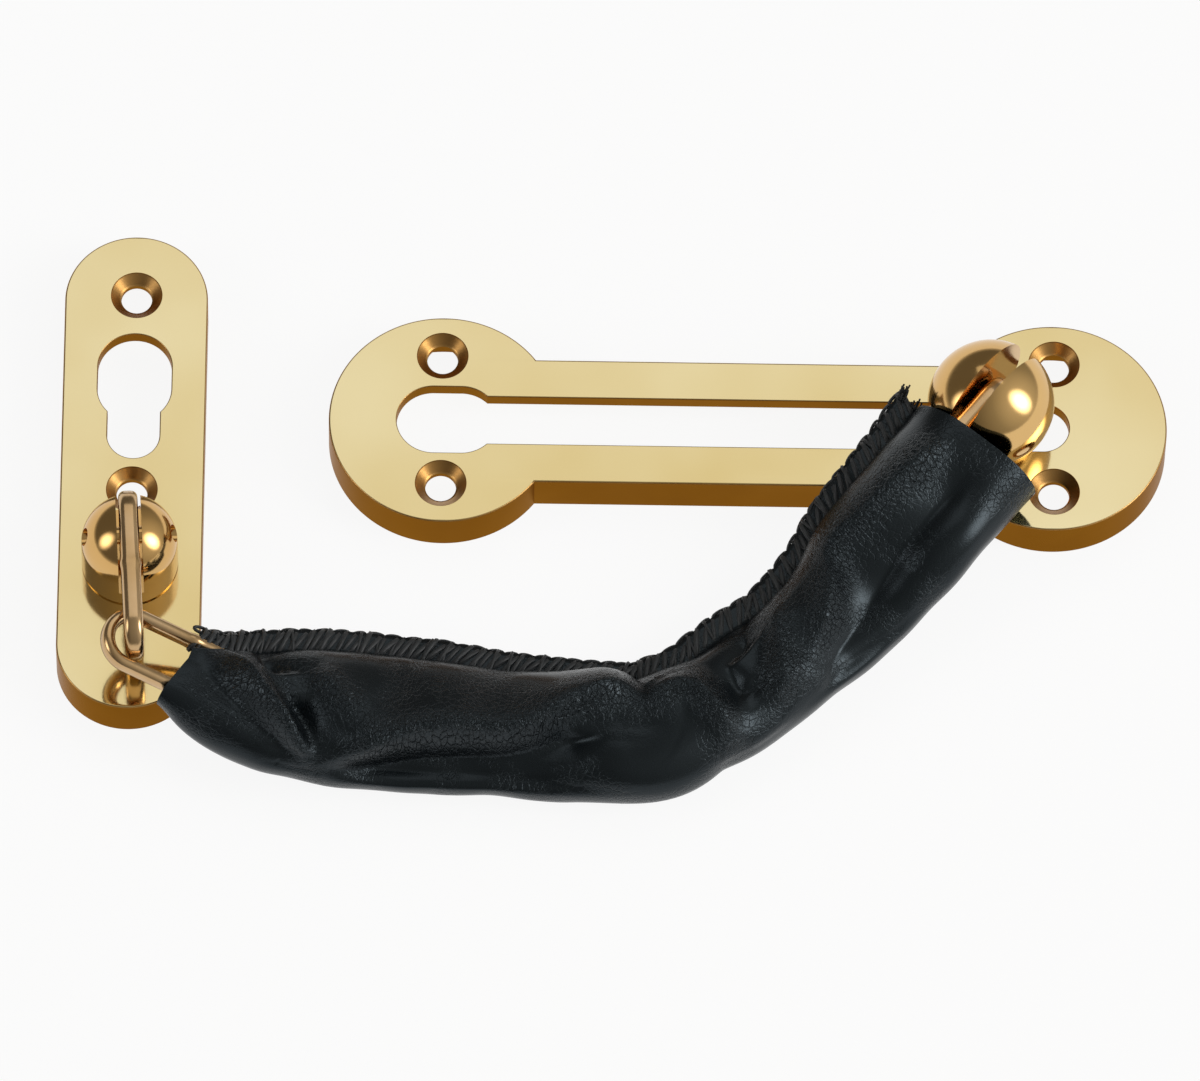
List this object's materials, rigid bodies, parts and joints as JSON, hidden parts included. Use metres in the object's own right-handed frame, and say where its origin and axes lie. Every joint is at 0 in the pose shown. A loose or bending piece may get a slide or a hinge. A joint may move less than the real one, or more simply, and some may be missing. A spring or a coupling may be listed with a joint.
{
  "type": "door chain guard",
  "caption": "Door chain guard: keyhole slide plate with a swivelling cleft knob, link chain in a black sewn sleeve, and an anchor plate with a domed post and parking hole.",
  "frame": {"origin": "on the plane of both plates' open backs, below the middle of the whole set as it lies", "axes": "+X along the slide plate's slot towards its closed end, +Y up the anchor plate, +Z out of the plates' polished faces"},
  "size_m": [0.1898, 0.106, 0.0282],
  "materials": {
    "plate_brass": "mirror polished",
    "fitting_brass": "mirror polished",
    "chain_brass": "polished",
    "fixing_steel": "zinc plated",
    "sleeve_leather": "creased imitation leather"
  },
  "bodies": {
    "slide_plate": {"slide_plate": "plate_brass"},
    "slider": {"slider_washer": "fixing_steel"},
    "knob": {"slider_knob": "fitting_brass", "slider_pin": "fitting_brass", "slider_screw": "fixing_steel"},
    "link_9": {"chain_link_9": "chain_brass", "leather_sleeve_9": "sleeve_leather"},
    "link_8": {"chain_link_8": "chain_brass", "leather_sleeve_8": "sleeve_leather"},
    "link_7": {"chain_link_7": "chain_brass", "leather_sleeve_7": "sleeve_leather"},
    "link_6": {"chain_link_6": "chain_brass", "leather_sleeve_6": "sleeve_leather"},
    "link_5": {"chain_link_5": "chain_brass", "leather_sleeve_5": "sleeve_leather"},
    "link_4": {"chain_link_4": "chain_brass", "leather_sleeve_4": "sleeve_leather"},
    "link_3": {"chain_link_3": "chain_brass", "leather_sleeve_3": "sleeve_leather"},
    "link_2": {"chain_link_2": "chain_brass", "leather_sleeve_2": "sleeve_leather"},
    "link_1": {"chain_link_1": "chain_brass"},
    "post": {"anchor_post": "fitting_brass", "anchor_pin": "fitting_brass", "anchor_screw": "fixing_steel", "anchor_washer": "fixing_steel"},
    "anchor": {"anchor_plate": "plate_brass"}
  },
  "joints": [
    {"name": "slider_slide", "type": "slide", "parent": "slide_plate", "child": "slider", "axis": [1, 0, 0], "range_m": [-0.0975, 0.0094]},
    {"name": "knob_swivel", "type": "hinge", "parent": "slider", "child": "knob", "pos_m": [0.0644, 0.01843, 0.0085], "axis": [0, 0, 1], "range_deg": [-6, 250]},
    {"name": "knob_pin_tilt", "type": "hinge", "parent": "knob", "child": "link_9", "pos_m": [0.0644, 0.01843, 0.0175], "axis": [-0.7793, 0.6266, 0], "range_deg": [0, 50]},
    {"name": "link_8_turn", "type": "hinge", "parent": "link_9", "child": "link_8", "pos_m": [0.0492, -0.00047, 0.0155], "axis": [0, 0, 1], "range_deg": [-5, 45], "deforming": ["leather_sleeve_9", "leather_sleeve_8", "leather_sleeve_7", "leather_sleeve_6", "leather_sleeve_5", "leather_sleeve_4", "leather_sleeve_3", "leather_sleeve_2"]},
    {"name": "link_7_turn", "type": "hinge", "parent": "link_8", "child": "link_7", "pos_m": [0.03855, -0.01294, 0.0091], "axis": [0, 0, 1], "range_deg": [-8, 45]},
    {"name": "link_6_turn", "type": "hinge", "parent": "link_7", "child": "link_6", "pos_m": [0.02114, -0.0329, 0.0071], "axis": [0, 0, 1], "range_deg": [-10, 45]},
    {"name": "link_5_turn", "type": "hinge", "parent": "link_6", "child": "link_5", "pos_m": [0.0061, -0.04204, 0.0071], "axis": [0, 0, 1], "range_deg": [-10, 45]},
    {"name": "link_4_turn", "type": "hinge", "parent": "link_5", "child": "link_4", "pos_m": [-0.02038, -0.04005, 0.0071], "axis": [0, 0, 1], "range_deg": [-10, 45]},
    {"name": "link_3_turn", "type": "hinge", "parent": "link_4", "child": "link_3", "pos_m": [-0.03796, -0.03928, 0.0071], "axis": [0, 0, 1], "range_deg": [-8, 45]},
    {"name": "link_2_turn", "type": "hinge", "parent": "link_3", "child": "link_2", "pos_m": [-0.06385, -0.03574, 0.0119], "axis": [0, 0, 1], "range_deg": [-5, 45]},
    {"name": "link_1_turn", "type": "hinge", "parent": "link_2", "child": "link_1", "pos_m": [-0.08132, -0.03009, 0.01845], "axis": [0, 0, 1], "range_deg": [-5, 50]},
    {"name": "post_slide", "type": "slide", "parent": "link_1", "child": "post", "axis": [-0.0628, 0.998, 0], "range_m": [-0.005, 0.0036]},
    {"name": "anchor_swivel", "type": "hinge", "parent": "post", "child": "anchor", "pos_m": [-0.0826, -0.00985, 0.0085], "axis": [0, 0, 1], "range_deg": [-24, 4]}
  ]
}
